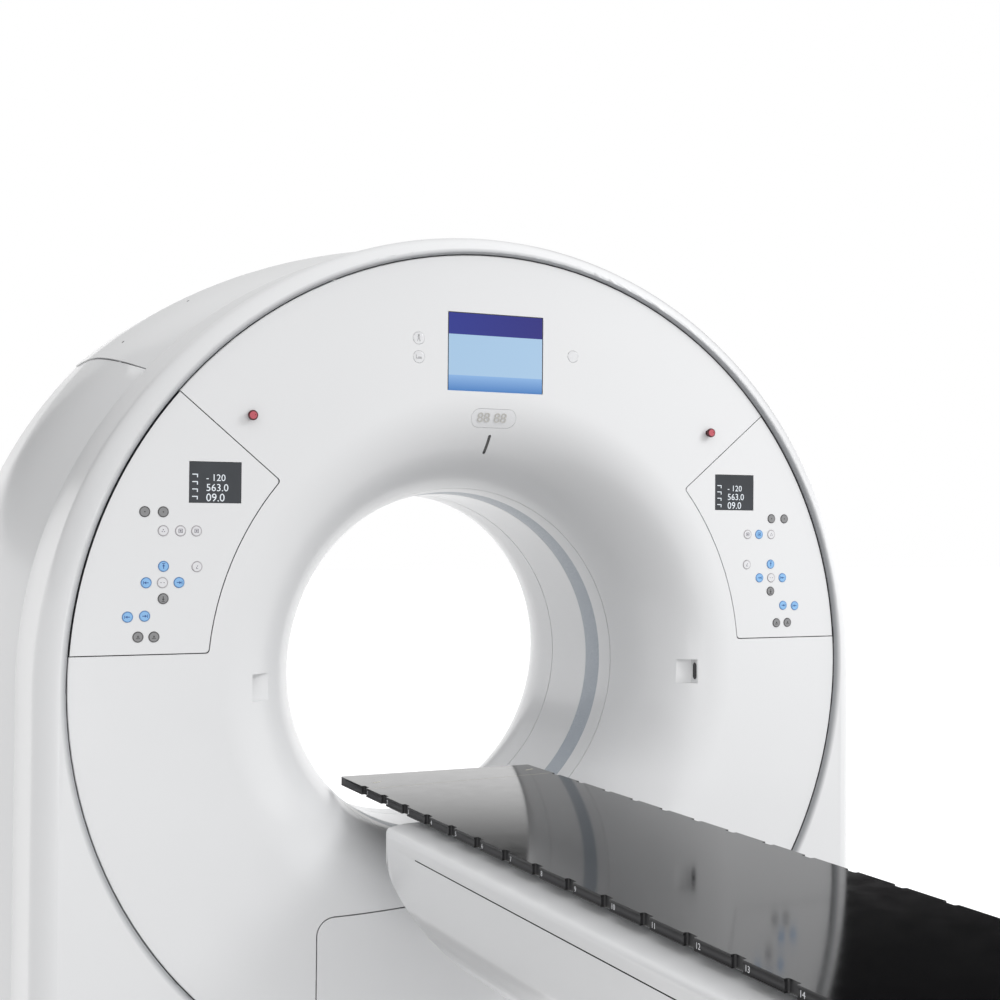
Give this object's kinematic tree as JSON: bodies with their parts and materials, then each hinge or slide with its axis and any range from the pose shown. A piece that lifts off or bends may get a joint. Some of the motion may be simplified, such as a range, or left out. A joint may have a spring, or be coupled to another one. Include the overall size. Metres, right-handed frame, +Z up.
{
  "type": "ct scanner",
  "caption": "Large-bore computed-tomography scanner: ring-shaped gantry with a bell-mouthed bore, control panels and a lifting couch with a sliding black tabletop.",
  "frame": {"origin": "on the floor, straight under the isocentre, at the centre of the gantry's anchor holes", "axes": "+Y along the bore axis from the couch side to the rear, +Z up, +X to the right seen from the couch"},
  "size_m": [2.404, 3.11, 2.1398],
  "materials": {
    "shell_white": "satin white moulded cover",
    "frame_steel": "grey painted steel",
    "bearing_steel": "ground steel",
    "motor_grey": "dark grey painted",
    "dark_plastic": "matt black",
    "window_film": "speckled blue-grey film",
    "display_black": "dark glossy screen",
    "lens_plastic": "translucent white lens",
    "couch_grey": "light grey painted",
    "rotor_aluminium": "machined",
    "slip_brass": "turned tracks",
    "tube_steel": "light grey housing",
    "module_grey": "folded sheet boxes",
    "column_steel": "grey painted steel",
    "cradle_white": "light grey moulding",
    "carbon_black": "glossy lacquered carbon fibre",
    "key_blue": "pale blue key",
    "key_grey": "grey key",
    "key_white": "white key",
    "stop_red": "red push button"
  },
  "bodies": {
    "gantry": {"gantry_frame": "frame_steel", "main_bearing": "bearing_steel", "drive_stator": "motor_grey", "brush_block": "dark_plastic", "front_cover": "shell_white", "rim_cover": "shell_white", "left_side_cover": "shell_white", "right_side_cover": "shell_white", "top_cover": "shell_white", "rear_cover": "shell_white", "service_panel": "shell_white", "bore_liner": "shell_white", "scan_window": "window_film", "left_control_panel": "shell_white", "right_control_panel": "shell_white", "centre_display": "display_black", "side_displays": "display_black", "signal_lenses": "lens_plastic", "couch_base": "couch_grey"},
    "rotor": {"rotor_drum": "rotor_aluminium", "slip_ring": "slip_brass", "xray_tube": "tube_steel", "detector_array": "motor_grey", "power_modules": "module_grey"},
    "couch": {"couch_column": "column_steel", "couch_body": "shell_white"},
    "table": {"cradle": "cradle_white", "tabletop": "carbon_black"},
    "left_key_lamp_outer": {"left_key_lamp_outer": "key_grey"},
    "left_key_lamp_inner": {"left_key_lamp_inner": "key_grey"},
    "left_key_preset_outer": {"left_key_preset_outer": "key_white"},
    "left_key_preset_middle": {"left_key_preset_middle": "key_white"},
    "left_key_preset_inner": {"left_key_preset_inner": "key_white"},
    "left_key_table_up": {"left_key_table_up": "key_blue"},
    "left_key_laser": {"left_key_laser": "key_white"},
    "left_key_table_out": {"left_key_table_out": "key_blue"},
    "left_key_centre": {"left_key_centre": "key_white"},
    "left_key_table_in": {"left_key_table_in": "key_blue"},
    "left_key_table_down": {"left_key_table_down": "key_grey"},
    "left_key_fast_outer": {"left_key_fast_outer": "key_blue"},
    "left_key_fast_inner": {"left_key_fast_inner": "key_blue"},
    "left_key_home_outer": {"left_key_home_outer": "key_grey"},
    "left_key_home_inner": {"left_key_home_inner": "key_grey"},
    "left_stop_button": {"left_stop_button": "stop_red"},
    "right_key_lamp_outer": {"right_key_lamp_outer": "key_grey"},
    "right_key_lamp_inner": {"right_key_lamp_inner": "key_grey"},
    "right_key_preset_outer": {"right_key_preset_outer": "key_white"},
    "right_key_preset_middle": {"right_key_preset_middle": "key_blue"},
    "right_key_preset_inner": {"right_key_preset_inner": "key_white"},
    "right_key_table_up": {"right_key_table_up": "key_blue"},
    "right_key_laser": {"right_key_laser": "key_white"},
    "right_key_table_out": {"right_key_table_out": "key_blue"},
    "right_key_centre": {"right_key_centre": "key_white"},
    "right_key_table_in": {"right_key_table_in": "key_blue"},
    "right_key_table_down": {"right_key_table_down": "key_grey"},
    "right_key_fast_outer": {"right_key_fast_outer": "key_blue"},
    "right_key_fast_inner": {"right_key_fast_inner": "key_blue"},
    "right_key_home_outer": {"right_key_home_outer": "key_grey"},
    "right_key_home_inner": {"right_key_home_inner": "key_grey"},
    "right_stop_button": {"right_stop_button": "stop_red"}
  },
  "joints": [
    {"name": "rotor_spin", "type": "hinge", "parent": "gantry", "child": "rotor", "pos_m": [0, 0, 1], "axis": [0, 1, 0], "continuous": true},
    {"name": "couch_lift", "type": "slide", "parent": "gantry", "child": "couch", "axis": [0, 0, 1], "range_m": [-0.015, 0.19]},
    {"name": "table_drive", "type": "slide", "parent": "couch", "child": "table", "axis": [0, 1, 0], "range_m": [-0.45, 1.5]},
    {"name": "left_key_lamp_outer_press", "type": "slide", "parent": "gantry", "child": "left_key_lamp_outer", "axis": [0, 1, 0], "range_m": [0, 0.001], "stiffness_N_per_m": 800},
    {"name": "left_key_lamp_inner_press", "type": "slide", "parent": "gantry", "child": "left_key_lamp_inner", "axis": [0, 1, 0], "range_m": [0, 0.001], "stiffness_N_per_m": 800},
    {"name": "left_key_preset_outer_press", "type": "slide", "parent": "gantry", "child": "left_key_preset_outer", "axis": [0, 1, 0], "range_m": [0, 0.001], "stiffness_N_per_m": 800},
    {"name": "left_key_preset_middle_press", "type": "slide", "parent": "gantry", "child": "left_key_preset_middle", "axis": [0, 1, 0], "range_m": [0, 0.001], "stiffness_N_per_m": 800},
    {"name": "left_key_preset_inner_press", "type": "slide", "parent": "gantry", "child": "left_key_preset_inner", "axis": [0, 1, 0], "range_m": [0, 0.001], "stiffness_N_per_m": 800},
    {"name": "left_key_table_up_press", "type": "slide", "parent": "gantry", "child": "left_key_table_up", "axis": [0, 1, 0], "range_m": [0, 0.001], "stiffness_N_per_m": 800},
    {"name": "left_key_laser_press", "type": "slide", "parent": "gantry", "child": "left_key_laser", "axis": [0, 1, 0], "range_m": [0, 0.001], "stiffness_N_per_m": 800},
    {"name": "left_key_table_out_press", "type": "slide", "parent": "gantry", "child": "left_key_table_out", "axis": [0, 1, 0], "range_m": [0, 0.001], "stiffness_N_per_m": 800},
    {"name": "left_key_centre_press", "type": "slide", "parent": "gantry", "child": "left_key_centre", "axis": [0, 1, 0], "range_m": [0, 0.001], "stiffness_N_per_m": 800},
    {"name": "left_key_table_in_press", "type": "slide", "parent": "gantry", "child": "left_key_table_in", "axis": [0, 1, 0], "range_m": [0, 0.001], "stiffness_N_per_m": 800},
    {"name": "left_key_table_down_press", "type": "slide", "parent": "gantry", "child": "left_key_table_down", "axis": [0, 1, 0], "range_m": [0, 0.001], "stiffness_N_per_m": 800},
    {"name": "left_key_fast_outer_press", "type": "slide", "parent": "gantry", "child": "left_key_fast_outer", "axis": [0, 1, 0], "range_m": [0, 0.001], "stiffness_N_per_m": 800},
    {"name": "left_key_fast_inner_press", "type": "slide", "parent": "gantry", "child": "left_key_fast_inner", "axis": [0, 1, 0], "range_m": [0, 0.001], "stiffness_N_per_m": 800},
    {"name": "left_key_home_outer_press", "type": "slide", "parent": "gantry", "child": "left_key_home_outer", "axis": [0, 1, 0], "range_m": [0, 0.001], "stiffness_N_per_m": 800},
    {"name": "left_key_home_inner_press", "type": "slide", "parent": "gantry", "child": "left_key_home_inner", "axis": [0, 1, 0], "range_m": [0, 0.001], "stiffness_N_per_m": 800},
    {"name": "left_stop_button_press", "type": "slide", "parent": "gantry", "child": "left_stop_button", "axis": [0, 1, 0], "range_m": [0, 0.004], "stiffness_N_per_m": 1500},
    {"name": "right_key_lamp_outer_press", "type": "slide", "parent": "gantry", "child": "right_key_lamp_outer", "axis": [0, 1, 0], "range_m": [0, 0.001], "stiffness_N_per_m": 800},
    {"name": "right_key_lamp_inner_press", "type": "slide", "parent": "gantry", "child": "right_key_lamp_inner", "axis": [0, 1, 0], "range_m": [0, 0.001], "stiffness_N_per_m": 800},
    {"name": "right_key_preset_outer_press", "type": "slide", "parent": "gantry", "child": "right_key_preset_outer", "axis": [0, 1, 0], "range_m": [0, 0.001], "stiffness_N_per_m": 800},
    {"name": "right_key_preset_middle_press", "type": "slide", "parent": "gantry", "child": "right_key_preset_middle", "axis": [0, 1, 0], "range_m": [0, 0.001], "stiffness_N_per_m": 800},
    {"name": "right_key_preset_inner_press", "type": "slide", "parent": "gantry", "child": "right_key_preset_inner", "axis": [0, 1, 0], "range_m": [0, 0.001], "stiffness_N_per_m": 800},
    {"name": "right_key_table_up_press", "type": "slide", "parent": "gantry", "child": "right_key_table_up", "axis": [0, 1, 0], "range_m": [0, 0.001], "stiffness_N_per_m": 800},
    {"name": "right_key_laser_press", "type": "slide", "parent": "gantry", "child": "right_key_laser", "axis": [0, 1, 0], "range_m": [0, 0.001], "stiffness_N_per_m": 800},
    {"name": "right_key_table_out_press", "type": "slide", "parent": "gantry", "child": "right_key_table_out", "axis": [0, 1, 0], "range_m": [0, 0.001], "stiffness_N_per_m": 800},
    {"name": "right_key_centre_press", "type": "slide", "parent": "gantry", "child": "right_key_centre", "axis": [0, 1, 0], "range_m": [0, 0.001], "stiffness_N_per_m": 800},
    {"name": "right_key_table_in_press", "type": "slide", "parent": "gantry", "child": "right_key_table_in", "axis": [0, 1, 0], "range_m": [0, 0.001], "stiffness_N_per_m": 800},
    {"name": "right_key_table_down_press", "type": "slide", "parent": "gantry", "child": "right_key_table_down", "axis": [0, 1, 0], "range_m": [0, 0.001], "stiffness_N_per_m": 800},
    {"name": "right_key_fast_outer_press", "type": "slide", "parent": "gantry", "child": "right_key_fast_outer", "axis": [0, 1, 0], "range_m": [0, 0.001], "stiffness_N_per_m": 800},
    {"name": "right_key_fast_inner_press", "type": "slide", "parent": "gantry", "child": "right_key_fast_inner", "axis": [0, 1, 0], "range_m": [0, 0.001], "stiffness_N_per_m": 800},
    {"name": "right_key_home_outer_press", "type": "slide", "parent": "gantry", "child": "right_key_home_outer", "axis": [0, 1, 0], "range_m": [0, 0.001], "stiffness_N_per_m": 800},
    {"name": "right_key_home_inner_press", "type": "slide", "parent": "gantry", "child": "right_key_home_inner", "axis": [0, 1, 0], "range_m": [0, 0.001], "stiffness_N_per_m": 800},
    {"name": "right_stop_button_press", "type": "slide", "parent": "gantry", "child": "right_stop_button", "axis": [0, 1, 0], "range_m": [0, 0.004], "stiffness_N_per_m": 1500}
  ]
}
